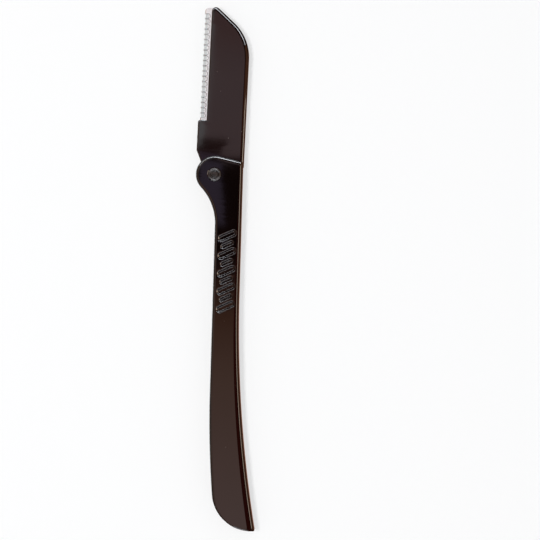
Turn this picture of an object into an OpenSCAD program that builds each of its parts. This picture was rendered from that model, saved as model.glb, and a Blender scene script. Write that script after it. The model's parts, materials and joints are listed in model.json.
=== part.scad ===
// Folding eyebrow razor, open and lying on its back face
// Millimetres, +Z up, +Y towards the blade, blade edge on the -X side
// The origin is at the middle of the part's footprint, on the surface that it lies on

/* [Handle] */
// Length from the hinge axis to the end of the butt
handle_reach = 107.9; // [98:0.1:125]
// Thickness over both faces
handle_t = 7; // [6.6:0.1:9]
// Radius of the round knuckle about the hinge axis
knuckle_r = 5.7; // [5.4:0.1:6.4]
// Distance from the hinge axis to the spine
handle_spine_x = 8.65; // [8.3:0.05:9.5]
// Width across the grip, from the open edge to the spine
grip_w = 8.1; // [7.6:0.1:9.5]
// Slope of the shoulder beside the knuckle, in degrees
shoulder_angle = 11; // [8:1:20]
// Radius of the hollow curve from the knuckle to the grip
throat_r = 16; // [12:0.5:20]
// How far the handle leans towards the spine over its whole length
lean = 2; // [0:0.1:4]
// How far the spine bows out at the butt, past its lean
spine_bow = 6.85; // [4:0.05:9]
// Distance from the hinge axis at which the spine starts to bow
spine_bow_start = 36; // [25:1:50]
// How far the open edge bows out at the butt, past its lean
edge_bow = 2.8; // [1:0.1:4]
// Distance from the hinge axis at which the open edge starts to bow
edge_bow_start = 66; // [55:1:75]
// Radius of the round butt
butt_r = 12; // [10:0.5:13]

/* [Handle walls] */
// Thickness of each cheek, from the outer face to the channel
cheek_t = 1.4; // [1.3:0.05:1.6]
// Thickness of the wall along the spine
spine_wall = 2.2; // [2:0.1:2.5]
// Thickness of the rim round the closed lower half
rim_wall = 1.5; // [1.2:0.1:2]
// Length of the solid web between the blade channel and the lower half
web_l = 3; // [2.4:0.1:4]
// Free length of channel past the tip of the folded blade holder
tip_room = 1.2; // [0.8:0.1:2]

/* [Handle edges] */
// Radius of the outer edge round the knuckle, the shoulder and the grip
edge_r = 0.9; // [0.5:0.05:1.2]
// Radius of the outer edge round the butt
butt_edge_r = 0.35; // [0.2:0.05:0.6]
// Radius of the large round along the side of the spine
spine_r = 2.4; // [1.6:0.1:2.5]
// Tilt of the surface where that round ends in a crisp line, in degrees
spine_cut_angle = 37; // [24:1:42]
// Width of the bevel between that line and the face, level with the hinge
bevel_top_w = 0.2; // [0.05:0.05:0.4]
// Width of the bevel at the butt
bevel_butt_w = 1.3; // [0.8:0.1:2.2]
// Angle between the bevel and the face, in degrees
bevel_angle = 12; // [6:1:18]
// Radius of the corner where the shoulder meets the spine
shoulder_corner_r = 0.7; // [0.4:0.05:0.9]
// Radius of the corner where the butt meets the spine
butt_corner_r = 0.4; // [0.2:0.05:0.6]

/* [Grip grooves] */
// Number of grooves in each face, long and short in turn
groove_count = 9; // [5:2:9]
// Distance from one groove to the next along the handle
groove_pitch = 2.7; // [2.5:0.1:3]
// Distance from the hinge axis to the first groove
groove_start = 18.7; // [17:0.1:21]
// Slope of the grooves, in degrees
groove_angle = 27; // [15:1:35]
// Distance between the end centres of a long groove
long_groove_l = 5.1; // [4:0.1:5.5]
// Width of a long groove
long_groove_w = 1.5; // [1.2:0.05:1.6]
// Distance between the end centres of a short groove
short_groove_l = 3.75; // [2.5:0.05:4]
// Width of a short groove
short_groove_w = 1.2; // [1:0.05:1.4]
// Depth of every groove
groove_depth = 0.45; // [0.3:0.05:0.6]
// Width of the sloping wall between the face and the flat floor of a groove
groove_wall = 0.4; // [0.2:0.05:0.45]
// Distance of the grooves from the middle of the grip, towards the open edge
groove_shift = 0.3; // [0:0.05:0.5]

/* [Blade holder] */
// Reach of the holder's tip beyond the hinge axis
holder_reach = 51.1; // [46:0.1:53]
// Thickness over both halves
holder_t = 3.6; // [3.2:0.05:3.7]
// Width from the blade side to the spine
holder_w = 12.05; // [11:0.05:12.5]
// Distance from the hinge axis to the blade side
blade_side_x = 3.3; // [2.9:0.05:3.5]
// Slope of the straight nose edge, in degrees
nose_angle = 40.6; // [32:0.2:46]
// Radius of the curve from the nose to the spine
crown_r = 14.5; // [11:0.5:17]
// Radius of the tip
tip_r = 1.3; // [1:0.1:1.5]
// Distance from the hinge axis up to the ledge that ends the blade
ledge_y = 16.5; // [15.8:0.1:17.2]
// How far the ledge stands out past the blade side
ledge_out = 2.6; // [2.4:0.05:2.7]
// Height of the ledge's straight outer side
ledge_h = 9.3; // [8.4:0.1:9.8]
// Angle of the heel facet below the ledge, from the blade edge, in degrees
facet_angle = 23.6; // [20:0.2:27]
// Radius of the round along the nose and the crown
crown_edge_r = 1.3; // [1:0.05:1.55]
// Radius of the round along the spine
holder_spine_edge_r = 1.5; // [0.6:0.05:1.55]
// Radius of the round along the blade side and round the ledge
blade_side_edge_r = 0.5; // [0.3:0.05:0.7]
// Radius of the ledge's outer corners
ledge_corner_r = 0.7; // [0.5:0.05:1]
// Radius of the round relief at the inner corner of the ledge
relief_r = 0.4; // [0.3:0.05:0.6]
// Depth of that relief below the face
relief_depth = 1.2; // [0.6:0.1:1.3]

/* [Blade and guard] */
// Thickness of the blade
blade_t = 0.3; // [0.2:0.02:0.36]
// Width of the ground edge
grind_w = 0.9; // [0.6:0.05:1.1]
// Thickness left at the cutting edge
edge_t = 0.02; // [0.01:0.005:0.04]
// How far the blade reaches into the holder
blade_hold = 5; // [4.4:0.1:5.4]
// How far the guard stands out past the blade side
guard_out = 2; // [1.9:0.05:2.1]
// Thickness of the guard's foil
foil_t = 0.12; // [0.08:0.01:0.16]
// How far the guard's flanges reach into the holder
flange_hold = 1; // [0.8:0.05:1.3]
// Distance from one window of the guard to the next
window_pitch = 1.6; // [1.4:0.01:1.8]
// Width of the bar between two windows
bar_w = 0.35; // [0.25:0.05:0.5]
// Length of each window, from the nose of the guard
window_l = 1.55; // [1.1:0.05:1.65]
// Plain length of guard between the ledge and the first window
guard_foot = 0.78; // [0.4:0.02:1.2]
// Least plain length of guard between the last window and the tip
guard_tip = 1.5; // [1.2:0.1:2.4]
// Radius of the guard's outer corner at the tip
guard_corner_r = 1; // [0.6:0.05:1.2]

/* [Hinge] */
// Radius of the sleeve that the holder turns on
sleeve_r = 1.7; // [1.6:0.05:1.9]
// Radius of the pin's stem inside the sleeve
stem_r = 1.2; // [1.05:0.05:1.25]
// Radius of both heads
head_r = 2.05; // [2.05:0.05:2.3]
// Thickness of both heads
head_t = 0.6; // [0.5:0.05:0.7]
// Radius of the holder's tang about the hinge axis
tang_r = 4.9; // [4.6:0.05:5.1]
// Distance from the hinge axis up to the holder's heel, its stop when open
heel_y = 2.6; // [2.4:0.05:2.9]
// Width of the raised thrust ring round the hinge, on the inside of each cheek
thrust_w = 1.5; // [1:0.1:1.8]

/* [Clearances] */
// Radial clearance of the turning fit between the tang and the sleeve
turn_clear = 0.05; // [0.02:0.01:0.1]
// Radial clearance of pegs, heads and stems in their holes
seat_clear = 0.03; // [0.02:0.01:0.06]
// Gap between the thrust ring and the tang
thrust_clear = 0.1; // [0.05:0.01:0.15]
// Gap between the heel and the spine wall that stops it
stop_clear = 0.1; // [0.05:0.01:0.2]
// Gap between the cutting edge and the inside of the guard's nose
edge_clear = 0.03; // [0.02:0.01:0.06]
// Gap between the guard's foot and the ledge
foot_clear = 0.05; // [0.03:0.01:0.1]
// Depth of each head below its face
head_sink = 0.1; // [0.05:0.01:0.15]

/* [Hidden] */
$fn = 48;

handle_colour = [0.16, 0.13, 0.14];
holder_colour = [0.19, 0.15, 0.15];
hinge_colour = [0.22, 0.19, 0.2];
blade_colour = [0.86, 0.87, 0.89];
guard_colour = [0.75, 0.77, 0.8];

// Overrun of every cut past the solid that it cuts
cut = 1;
// Height of the locating pegs above the seam, and the extra depth of their sockets
peg_h = 1.1;
socket_extra = 0.15;
spine_peg_r = 0.5;
web_peg_r = 0.7;
blade_peg_r = 0.75;
// Radius of the rounded ends of the channel and of the cores
core_corner_r = 1.2;
// Width of the cross ribs in the lower half, and how many there are
rib_w = 1.2;
rib_count = 2;
// Depth of the stem's end below the sleeve's head, and radius of the dimple in it
stem_sink = 0.15;
dimple_r = 0.8;
dimple_depth = 0.3;
// Length of the bevel that breaks the edge of each head
head_bevel = 0.15;

// Thickness of the wall round the butt
butt_wall = 2.4;
// How far the guard and the blade end below the holder's tip, and their gap to the tip's round
strip_drop = 0.2;
strip_gap = 0.1;
// How far the hidden part of the blade ends below the holder's tip, and the wall along the nose
tip_hold = 2.1;
nose_wall = 1.7;
// Radius of the tip's outline on the face, as a share of its radius at the seam
tip_sharp_share = 0.3;

// Where the pegs stand along the spine, as shares of the handle's reach
spine_peg_shares = [0.04, 0.17, 0.3, 0.43, 0.62, 0.8];
// Where the pegs stand in the blade, as shares of the blade's free length
blade_peg_shares = [0.22, 0.68];
// Where the pegs stand behind the blade, as shares of the holder's reach
back_peg_shares = [0.2, 0.68];

// Steps of each curve
edge_steps = 6;
knuckle_steps = 16;
throat_steps = 8;
edge_points = 14;
butt_steps = 14;
corner_steps = 3;
tip_steps = 6;
crown_steps = 10;
heel_steps = 7;

half_t = handle_t / 2;
half_holder = holder_t / 2;
channel_half = half_t - cheek_t;
holder_spine_x = holder_w - blade_side_x;
lean_angle = atan(lean / handle_reach);
slot_reach = holder_reach + tip_room;
wall_top_y = heel_y - stop_clear;

function mix(a, b, share) = a + (b - a) * share;
function unit(v) = v / norm(v);
function polar(r, a) = r * [cos(a), sin(a)];
function flipped(list) = [for (i = [len(list) - 1 : -1 : 0]) list[i]];
function arc(centre, r, from, to, steps) =
    [for (i = [0 : steps]) centre + polar(r, mix(from, to, i / steps))];

// A round of radius r at corner c, between the directions u and v of its two sides
function corner_arc(c, u, v, r, steps) =
    let (
        open = acos(u * v),
        turn = 180 - open,
        middle = c + unit(u + v) * r / sin(open / 2),
        p = (c + u * r / tan(open / 2) - middle) / r,
        q = (c + v * r / tan(open / 2) - middle) / r
    )
    [for (i = [0 : steps]) let (s = i / steps)
        middle + r * (sin((1 - s) * turn) * p + sin(s * turn) * q) / sin(turn)];

// Step i of a quarter round, as the inset from the side and the drop from the face
function round_step(i, r) = let (a = 90 * i / edge_steps) [r * (1 - cos(a)), r * (1 - sin(a))];

// Step i of the spine's edge: the round up to its crisp line, then a bevel of width w up to the face
function bevel_step(i, w) =
    let (
        a = (90 - spine_cut_angle) * i / (edge_steps - 1),
        foot = w * tan(bevel_angle) + spine_r * cos(spine_cut_angle)
    )
    i == edge_steps ? [spine_r * (1 - sin(spine_cut_angle)) + w, 0]
        : [spine_r * (1 - cos(a)), foot - spine_r * sin(a)];

function raised(points, z) = [for (p = points) [p[0], p[1], z]];
function lowest(points, axis) = min([for (p = points) p[axis]]);
function highest(points, axis) = max([for (p = points) p[axis]]);

// A solid through rings of points, each ring a left side and then a right side that runs back
module skin(rings) {
    n = len(rings[0]);
    top = (len(rings) - 1) * n;
    polyhedron(
        points = [for (ring = rings) each ring],
        faces = concat(
            [for (k = [0 : len(rings) - 2]) for (i = [0 : n - 1]) let (j = (i + 1) % n)
                each [[k * n + i, (k + 1) * n + i, (k + 1) * n + j], [k * n + i, (k + 1) * n + j, k * n + j]]],
            [for (i = [0 : n / 2 - 2]) let (a = i, b = i + 1, c = n - 2 - i, d = n - 1 - i)
                each [[a, b, c], [a, c, d]]],
            [for (i = [0 : n / 2 - 2]) let (a = i, b = i + 1, c = n - 2 - i, d = n - 1 - i)
                each [[top + a, top + c, top + b], [top + a, top + d, top + c]]]
        ),
        convexity = 6
    );
}

// Outline of the handle

function bow(y, start) = max(0, (-y - start) / (handle_reach - start));
function spine_at(y) = handle_spine_x - y * lean / handle_reach + spine_bow * pow(bow(y, spine_bow_start), 2);
function edge_at(y) =
    handle_spine_x - grip_w - y * lean / handle_reach + edge_bow * pow(bow(y, edge_bow_start), 2);
function spine_slope(y) =
    lean / handle_reach + 2 * spine_bow * bow(y, spine_bow_start) / (handle_reach - spine_bow_start);
function edge_slope(y) =
    lean / handle_reach + 2 * edge_bow * bow(y, edge_bow_start) / (handle_reach - edge_bow_start);
function across(slope) = unit([1, slope]);
function bevel_w(y) = mix(bevel_top_w, bevel_butt_w, max(0, -y / handle_reach));

throat_angle = lean_angle + 360
    - acos(((handle_spine_x - grip_w) * cos(lean_angle) - throat_r) / (knuckle_r + throat_r));
throat_centre = polar(knuckle_r + throat_r, throat_angle);
edge_top_y = throat_centre[1] + throat_r * sin(lean_angle);
butt_turn = atan(edge_slope(-(handle_reach - butt_r)));
edge_end_y = -(handle_reach - butt_r * (1 - sin(butt_turn)));
butt_centre = [edge_at(edge_end_y), edge_end_y] + butt_r * across(edge_slope(edge_end_y));
// The knuckle stretch of the spine ends level with the foot of the knuckle
knuckle_foot_y = knuckle_r * sin(throat_angle);
edge_ys = [for (i = [1 : edge_points]) mix(edge_top_y, edge_end_y, i / edge_points)];

function butt_end(i) = let (w = bevel_step(i, bevel_butt_w)[0], d = round_step(i, butt_edge_r)[0])
    360 - acos((spine_at(-handle_reach) - w - butt_centre[0]) / (butt_r - d));
function spine_point(i, y) = let (step = bevel_step(i, bevel_w(y)), p = [spine_at(y), y] - step[0] * across(spine_slope(y)))
    [p[0], p[1], half_t - step[1]];
function shoulder_corner(i) = let (
        d = round_step(i, edge_r)[0],
        y = (knuckle_r - d - handle_spine_x * sin(shoulder_angle)) / cos(shoulder_angle),
        x = spine_at(y) - bevel_step(i, bevel_w(y))[0]
    ) [x, (knuckle_r - d - x * sin(shoulder_angle)) / cos(shoulder_angle)];

// The open side of ring i: knuckle, throat, open edge and butt
function handle_left(i) = let (
        d = round_step(i, edge_r)[0],
        z = half_t - round_step(i, edge_r)[1],
        last = butt_end(i) - 2 * asin(butt_corner_r / butt_r)
    )
    concat(
        raised(arc([0, 0], knuckle_r - d, 90 - shoulder_angle, throat_angle, knuckle_steps), z),
        [for (k = [1 : throat_steps]) let (a = mix(throat_angle - 180, lean_angle, k / throat_steps),
            p = throat_centre + polar(throat_r + d, a)) [p[0], p[1], z]],
        [for (y = edge_ys) let (p = [edge_at(y), y] + d * across(edge_slope(y))) [p[0], p[1], z]],
        [for (k = [1 : butt_steps]) let (
            step = round_step(i, mix(edge_r, butt_edge_r, sin(90 * k / butt_steps))),
            p = butt_centre + polar(butt_r - step[0], mix(180 + butt_turn, last, k / butt_steps)))
            [p[0], p[1], half_t - step[1]]]
    );

// The spine side of ring i, from the shoulder's corner to the butt's corner
function handle_right(i) = let (
        shoulder = shoulder_corner(i),
        shoulder_y = shoulder[1] - 2 * shoulder_corner_r,
        shoulder_zs = [half_t - round_step(i, edge_r)[1], half_t - bevel_step(i, bevel_w(shoulder[1]))[1]],
        butt_angle = butt_end(i),
        butt = butt_centre + polar(butt_r - round_step(i, butt_edge_r)[0], butt_angle),
        butt_y = butt[1] + 2 * butt_corner_r,
        butt_zs = [half_t - bevel_step(i, bevel_butt_w)[1], half_t - round_step(i, butt_edge_r)[1]],
        shoulder_round = corner_arc(shoulder, polar(1, 180 - shoulder_angle),
            unit([spine_slope(shoulder[1]), -1]), shoulder_corner_r, corner_steps),
        butt_round = corner_arc(butt, unit([-spine_slope(butt[1]), 1]), polar(1, butt_angle - 90),
            butt_corner_r, corner_steps),
        knuckle_points = knuckle_steps - corner_steps,
        butt_points = butt_steps - corner_steps - 1
    )
    concat(
        [for (k = [0 : corner_steps]) let (p = shoulder_round[k], s = k / corner_steps)
            [p[0], p[1], mix(shoulder_zs[0], shoulder_zs[1], s)]],
        [for (k = [1 : knuckle_points]) spine_point(i, mix(shoulder_y, knuckle_foot_y, k / knuckle_points))],
        [for (k = [1 : throat_steps]) spine_point(i, mix(knuckle_foot_y, edge_top_y, k / throat_steps))],
        [for (y = edge_ys) spine_point(i, y)],
        [for (k = [1 : butt_points]) spine_point(i, mix(edge_end_y, butt_y, k / butt_points))],
        [for (k = [0 : corner_steps]) let (p = butt_round[k], s = k / corner_steps)
            [p[0], p[1], mix(butt_zs[0], butt_zs[1], s)]]
    );

function handle_ring(i) = concat(handle_left(i), flipped(handle_right(i)));

// Outline of the blade holder

nose_side = polar(1, 90 - nose_angle);
tip_centre = [tip_r - blade_side_x, holder_reach - tip_r];
nose_d = tip_centre * nose_side + tip_r;
crown_x = holder_spine_x - crown_r;
crown_centre = [crown_x, (nose_d - crown_r - crown_x * nose_side[0]) / nose_side[1]];
ledge_x = -blade_side_x - ledge_out;
facet_y = ledge_y - ledge_h;
edge_side_points = tip_steps + crown_steps;

function nose_y(x, inset) = (nose_d - inset - x * nose_side[0]) / nose_side[1];

// The tip of ring i, from the blade side over to the nose
function holder_tip(i) = let (
        left = round_step(i, blade_side_edge_r),
        top = round_step(i, crown_edge_r),
        x = left[0] - blade_side_x,
        points = corner_arc([x, nose_y(x, top[0])], [0, -1], polar(1, -nose_angle),
            tip_r * mix(1, tip_sharp_share, round_step(i, 1)[0]), tip_steps)
    )
    [for (k = [0 : tip_steps]) [points[k][0], points[k][1],
        half_holder - mix(left[1], top[1], k / tip_steps)]];

// The blade side of ring i: tip, blade side, ledge and heel facet
function holder_left(i) = let (
        d = round_step(i, blade_side_edge_r)[0],
        z = half_holder - round_step(i, blade_side_edge_r)[1],
        start = holder_tip(i)[0],
        facet_corner = [ledge_x + d, facet_y + d * (1 - cos(facet_angle)) / sin(facet_angle)]
    )
    concat(
        [start],
        [for (k = [1 : edge_side_points]) [start[0], mix(start[1], crown_centre[1], k / edge_side_points), z]],
        [[start[0], ledge_y - d, z]],
        raised(corner_arc([ledge_x + d, ledge_y - d], [1, 0], [0, -1], ledge_corner_r, 2), z),
        raised(corner_arc(facet_corner, [0, 1], polar(1, facet_angle - 90), ledge_corner_r, 2), z),
        [[ledge_x + (facet_y - heel_y) * tan(facet_angle) + d / cos(facet_angle), heel_y, z]]
    );

// The spine side of ring i: nose, crown, spine and heel
function holder_right(i) = let (top = round_step(i, crown_edge_r), side = round_step(i, holder_spine_edge_r))
    concat(
        [for (k = [1 : tip_steps]) holder_tip(i)[k]],
        [for (k = [0 : crown_steps]) let (s = k / crown_steps,
            p = crown_centre + polar(crown_r - mix(top[0], side[0], s), mix(90 - nose_angle, 0, s)))
            [p[0], p[1], half_holder - mix(top[1], side[1], s)]],
        [for (k = [0 : heel_steps])
            [holder_spine_x - side[0], mix(ledge_y, heel_y, k / heel_steps), half_holder - side[1]]]
    );

function holder_ring(i) = concat(holder_left(i), flipped(holder_right(i)));

// Plan of the blade and the guard

strip_foot_y = ledge_y + foot_clear;
strip_top_y = holder_reach - strip_drop;
hidden_top_y = holder_reach - tip_hold;
blade_out = guard_out - foil_t - edge_clear;
blade_edge_x = -blade_side_x - blade_out;
blade_back_x = blade_hold - blade_side_x;
guard_nose_x = -blade_side_x - guard_out;
window_w = window_pitch - bar_w;
window_count = floor((strip_top_y - strip_foot_y - guard_foot - guard_tip + bar_w) / window_pitch);

// A strip from out past the blade side to hold inside the holder, with its hidden sides grown by gap
module strip_plan(out, hold, corner_r, gap) {
    back_x = hold - blade_side_x + gap;
    top_y = hidden_top_y + gap;
    nose_inset = nose_wall - gap;
    nose_x = (nose_d - nose_inset - top_y * nose_side[1]) / nose_side[0];
    polygon(concat(
        [[-blade_side_x - out, strip_foot_y - gap]],
        corner_arc([-blade_side_x - out, strip_top_y], [0, -1], [1, 0], corner_r, 5),
        [[-blade_side_x - strip_gap, strip_top_y], [-blade_side_x - strip_gap, top_y]],
        nose_x < back_x ? [[nose_x, top_y], [back_x, nose_y(back_x, nose_inset)]] : [[back_x, top_y]],
        [[back_x, strip_foot_y - gap]]
    ));
}

// Pegs and sockets

module at_handle_pegs() {
    for (s = spine_peg_shares) let (y = -s * handle_reach)
        translate([spine_at(y) - spine_wall / 2, y]) children();
}

module at_web_peg() {
    web_y = -slot_reach - web_l / 2;
    translate([edge_at(web_y) + rim_wall + web_peg_r, web_y]) children();
}

module at_blade_pegs() {
    for (s = blade_peg_shares)
        translate([(flange_hold + blade_hold) / 2 - blade_side_x, mix(strip_foot_y, strip_top_y, s)]) children();
}

module at_back_pegs() {
    for (s = back_peg_shares)
        translate([(blade_back_x + holder_spine_x) / 2, s * holder_reach]) children();
}

module peg(r) translate([0, 0, -peg_h]) cylinder(r = r, h = 2 * peg_h);
module socket(r) translate([0, 0, -cut]) cylinder(r = r + seat_clear, h = cut + peg_h + socket_extra);

// Handle

// The channel that the folded blade holder lies in, open along the open edge and at the shoulder
module channel_plan() {
    end = [spine_at(-slot_reach) - spine_wall, -slot_reach];
    steps = 12;
    polygon(concat(
        [for (k = [0 : steps]) let (y = mix(wall_top_y, core_corner_r - slot_reach, k / steps))
            [spine_at(y) - spine_wall, y]],
        corner_arc(end, unit([-spine_slope(end[1]), 1]), [-1, 0], core_corner_r, corner_steps),
        [[-knuckle_r - cut, -slot_reach], [-knuckle_r - cut, knuckle_r + cut]],
        [[handle_spine_x + cut, knuckle_r + cut], [handle_spine_x + cut, wall_top_y]]
    ));
}

// The core of the closed lower half, inside its rim
module core_plan() {
    top_y = -slot_reach - web_l;
    r = butt_r - butt_wall;
    end_angle = 360 - acos((spine_at(-handle_reach) - spine_wall - butt_centre[0]) / r);
    end_y = butt_centre[1] + r * sin(end_angle);
    steps = 10;
    polygon(concat(
        [for (k = [0 : steps]) let (y = mix(top_y, edge_end_y, k / steps)) [edge_at(y) + rim_wall, y]],
        arc(butt_centre, r, 180 + butt_turn + asin(core_corner_r / r), end_angle, steps),
        [for (k = [1 : steps]) let (y = mix(end_y, top_y, k / steps)) [spine_at(y) - spine_wall, y]]
    ));
}

module core() {
    top_y = -slot_reach - web_l;
    bottom_y = butt_wall - handle_reach;
    difference() {
        translate([0, 0, -cut]) linear_extrude(cut + channel_half) core_plan();
        for (k = [1 : rib_count])
            translate([0, mix(top_y, bottom_y, k / (rib_count + 1)) - rib_w / 2, -2 * cut])
                cube([2 * handle_spine_x + spine_bow, rib_w, 3 * cut + channel_half]);
    }
}

// A groove with a flat floor, sloping walls and round ends, w wide where it meets the face
module groove(l, w) {
    floor_r = w / 2 - groove_wall;
    mouth_r = w / 2 + groove_wall * cut / groove_depth;
    for (side = [-1, 1]) translate([side * l / 2, 0, -groove_depth])
        cylinder(r1 = floor_r, r2 = mouth_r, h = groove_depth + cut);
    rotate([90, 0, 90]) linear_extrude(l, center = true)
        polygon([[-floor_r, -groove_depth], [floor_r, -groove_depth], [mouth_r, cut], [-mouth_r, cut]]);
}

module grooves() {
    for (i = [0 : groove_count - 1]) {
        y = -groove_start - i * groove_pitch;
        long = i % 2 == 0;
        translate([(edge_at(y) + spine_at(y)) / 2 - groove_shift, y, half_t])
            rotate([0, 0, groove_angle])
                groove(long ? long_groove_l : short_groove_l, long ? long_groove_w : short_groove_w);
    }
}

// One half of the handle, from the seam up to its face
module handle_half() {
    floor_z = half_holder + thrust_clear;
    difference() {
        union() {
            difference() {
                skin([raised(handle_ring(0), 0), for (i = [0 : edge_steps]) handle_ring(i)]);
                translate([0, 0, -cut]) linear_extrude(cut + channel_half) channel_plan();
                core();
            }
            translate([0, 0, floor_z])
                cylinder(r = sleeve_r + seat_clear + thrust_w, h = channel_half + cheek_t / 2 - floor_z);
        }
        cylinder(r = sleeve_r + seat_clear, h = half_t + cut);
        translate([0, 0, half_t - head_sink - head_t]) cylinder(r = head_r + seat_clear, h = head_t + cut);
        grooves();
    }
}

// Blade holder

// One half of the holder, from the seam up to its face, with half of the blade's seat
module holder_half() {
    difference() {
        union() {
            skin([raised(holder_ring(0), 0), for (i = [0 : edge_steps]) holder_ring(i)]);
            cylinder(r = tang_r, h = half_holder);
        }
        translate([0, 0, -cut]) {
            cylinder(r = sleeve_r + turn_clear, h = half_holder + 2 * cut);
            linear_extrude(cut + blade_t / 2)
                strip_plan(guard_out + cut, blade_hold, guard_corner_r, seat_clear);
            linear_extrude(cut + blade_t / 2 + foil_t)
                strip_plan(guard_out + cut, flange_hold, guard_corner_r, seat_clear);
        }
        translate([-blade_side_x, ledge_y, half_holder - relief_depth])
            cylinder(r = relief_r, h = relief_depth + cut);
    }
}

// Blade and guard

// A section across the blade, run along the whole strip
module along_strip() {
    translate([0, strip_top_y + cut, 0]) rotate([90, 0, 0])
        linear_extrude(strip_top_y - strip_foot_y + 2 * cut) children();
}

// A foil fold of radius r about the nose, open towards the holder
module fold_section(r) {
    reach = flange_hold + guard_out + cut;
    translate([guard_nose_x + blade_t / 2 + foil_t, 0]) {
        circle(r);
        translate([0, -r]) square([reach, 2 * r]);
    }
}

// Turning parts of the hinge

module head() {
    cylinder(r = head_r, h = head_t - head_bevel);
    translate([0, 0, head_t - head_bevel]) cylinder(r1 = head_r, r2 = head_r - head_bevel, h = head_bevel);
}

module dimple() {
    r = (pow(dimple_r, 2) + pow(dimple_depth, 2)) / (2 * dimple_depth);
    translate([0, 0, r - dimple_depth]) sphere(r);
}

// The named pieces

base_points = concat(handle_ring(0), holder_ring(0));
head_under_z = half_t - head_sink - head_t;

module placed() {
    translate([
        -(lowest(base_points, 0) + highest(base_points, 0)) / 2,
        -(lowest(base_points, 1) + highest(base_points, 1)) / 2,
        half_t
    ]) children();
}

module handle_front() {
    color(handle_colour) placed() difference() {
        handle_half();
        at_handle_pegs() socket(spine_peg_r);
        at_web_peg() socket(web_peg_r);
    }
}

module handle_back() {
    color(handle_colour) placed() {
        mirror([0, 0, 1]) handle_half();
        at_handle_pegs() peg(spine_peg_r);
        at_web_peg() peg(web_peg_r);
    }
}

module hinge_sleeve() {
    color(hinge_colour) placed() difference() {
        union() {
            translate([0, 0, head_under_z]) head();
            translate([0, 0, -head_under_z]) cylinder(r = sleeve_r, h = 2 * head_under_z);
        }
        translate([0, 0, -half_t]) cylinder(r = stem_r + seat_clear, h = handle_t);
    }
}

module hinge_pin() {
    stem_top_z = half_t - head_sink - stem_sink;
    color(hinge_colour) placed() difference() {
        union() {
            mirror([0, 0, 1]) translate([0, 0, head_under_z]) head();
            translate([0, 0, -head_under_z]) cylinder(r = stem_r, h = head_under_z + stem_top_z);
        }
        translate([0, 0, stem_top_z]) dimple();
        mirror([0, 0, 1]) translate([0, 0, half_t - head_sink]) dimple();
    }
}

module holder_front() {
    color(holder_colour) placed() difference() {
        holder_half();
        at_blade_pegs() socket(blade_peg_r);
        at_back_pegs() socket(blade_peg_r);
    }
}

module holder_back() {
    color(holder_colour) placed() {
        mirror([0, 0, 1]) holder_half();
        at_blade_pegs() peg(blade_peg_r);
        at_back_pegs() peg(blade_peg_r);
    }
}

module blade() {
    color(blade_colour) placed() difference() {
        intersection() {
            along_strip() polygon([
                [blade_edge_x, -edge_t / 2], [blade_edge_x + grind_w, -blade_t / 2],
                [blade_back_x, -blade_t / 2], [blade_back_x, blade_t / 2],
                [blade_edge_x + grind_w, blade_t / 2], [blade_edge_x, edge_t / 2]
            ]);
            linear_extrude(2 * blade_t, center = true)
                strip_plan(blade_out, blade_hold, guard_corner_r - foil_t, 0);
        }
        at_blade_pegs() cylinder(r = blade_peg_r + seat_clear, h = 2 * blade_t, center = true);
    }
}

module blade_guard() {
    color(guard_colour) placed() difference() {
        intersection() {
            along_strip() fold_section(blade_t / 2 + foil_t);
            linear_extrude(2 * (blade_t + foil_t), center = true)
                strip_plan(guard_out, flange_hold, guard_corner_r, 0);
        }
        along_strip() fold_section(blade_t / 2);
        for (i = [0 : window_count - 1])
            translate([guard_nose_x + window_l - window_w / 2,
                strip_foot_y + guard_foot + window_w / 2 + i * window_pitch, 0]) {
                cylinder(r = window_w / 2, h = 2 * (blade_t + foil_t), center = true);
                translate([-window_l, -window_w / 2, -blade_t - foil_t])
                    cube([window_l, window_w, 2 * (blade_t + foil_t)]);
            }
    }
}

handle_front();
handle_back();
hinge_sleeve();
hinge_pin();
holder_front();
holder_back();
blade();
blade_guard();
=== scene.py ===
import json
from math import acos, asin, atan, ceil, cos, pi, radians, sin, tan

import bmesh
import bpy
from mathutils import Matrix, Vector


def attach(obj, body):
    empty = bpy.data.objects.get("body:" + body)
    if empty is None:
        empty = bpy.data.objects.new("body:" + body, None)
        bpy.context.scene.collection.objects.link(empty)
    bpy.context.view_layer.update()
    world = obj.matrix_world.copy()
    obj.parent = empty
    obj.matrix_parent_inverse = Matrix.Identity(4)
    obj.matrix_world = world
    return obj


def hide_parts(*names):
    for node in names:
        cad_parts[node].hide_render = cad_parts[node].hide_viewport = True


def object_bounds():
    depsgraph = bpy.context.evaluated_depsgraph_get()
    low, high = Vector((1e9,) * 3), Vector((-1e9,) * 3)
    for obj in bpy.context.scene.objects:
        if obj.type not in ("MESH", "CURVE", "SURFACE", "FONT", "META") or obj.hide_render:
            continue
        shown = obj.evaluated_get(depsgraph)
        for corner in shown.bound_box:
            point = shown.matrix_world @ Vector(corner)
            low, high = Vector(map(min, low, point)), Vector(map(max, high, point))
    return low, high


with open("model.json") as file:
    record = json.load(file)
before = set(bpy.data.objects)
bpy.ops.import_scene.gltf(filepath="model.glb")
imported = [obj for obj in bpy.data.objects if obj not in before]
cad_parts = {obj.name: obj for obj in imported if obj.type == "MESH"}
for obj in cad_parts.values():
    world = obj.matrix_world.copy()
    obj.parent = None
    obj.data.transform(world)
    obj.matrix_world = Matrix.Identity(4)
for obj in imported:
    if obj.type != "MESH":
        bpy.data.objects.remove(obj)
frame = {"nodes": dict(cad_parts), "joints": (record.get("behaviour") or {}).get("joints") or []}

cad_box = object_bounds()

# Handle shells
# Two long halves, front and back, of injection-moulded ABS. They meet along the spine and round the
# closed lower half, and leave the blade channel open between them. Glued over small pegs.

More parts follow.
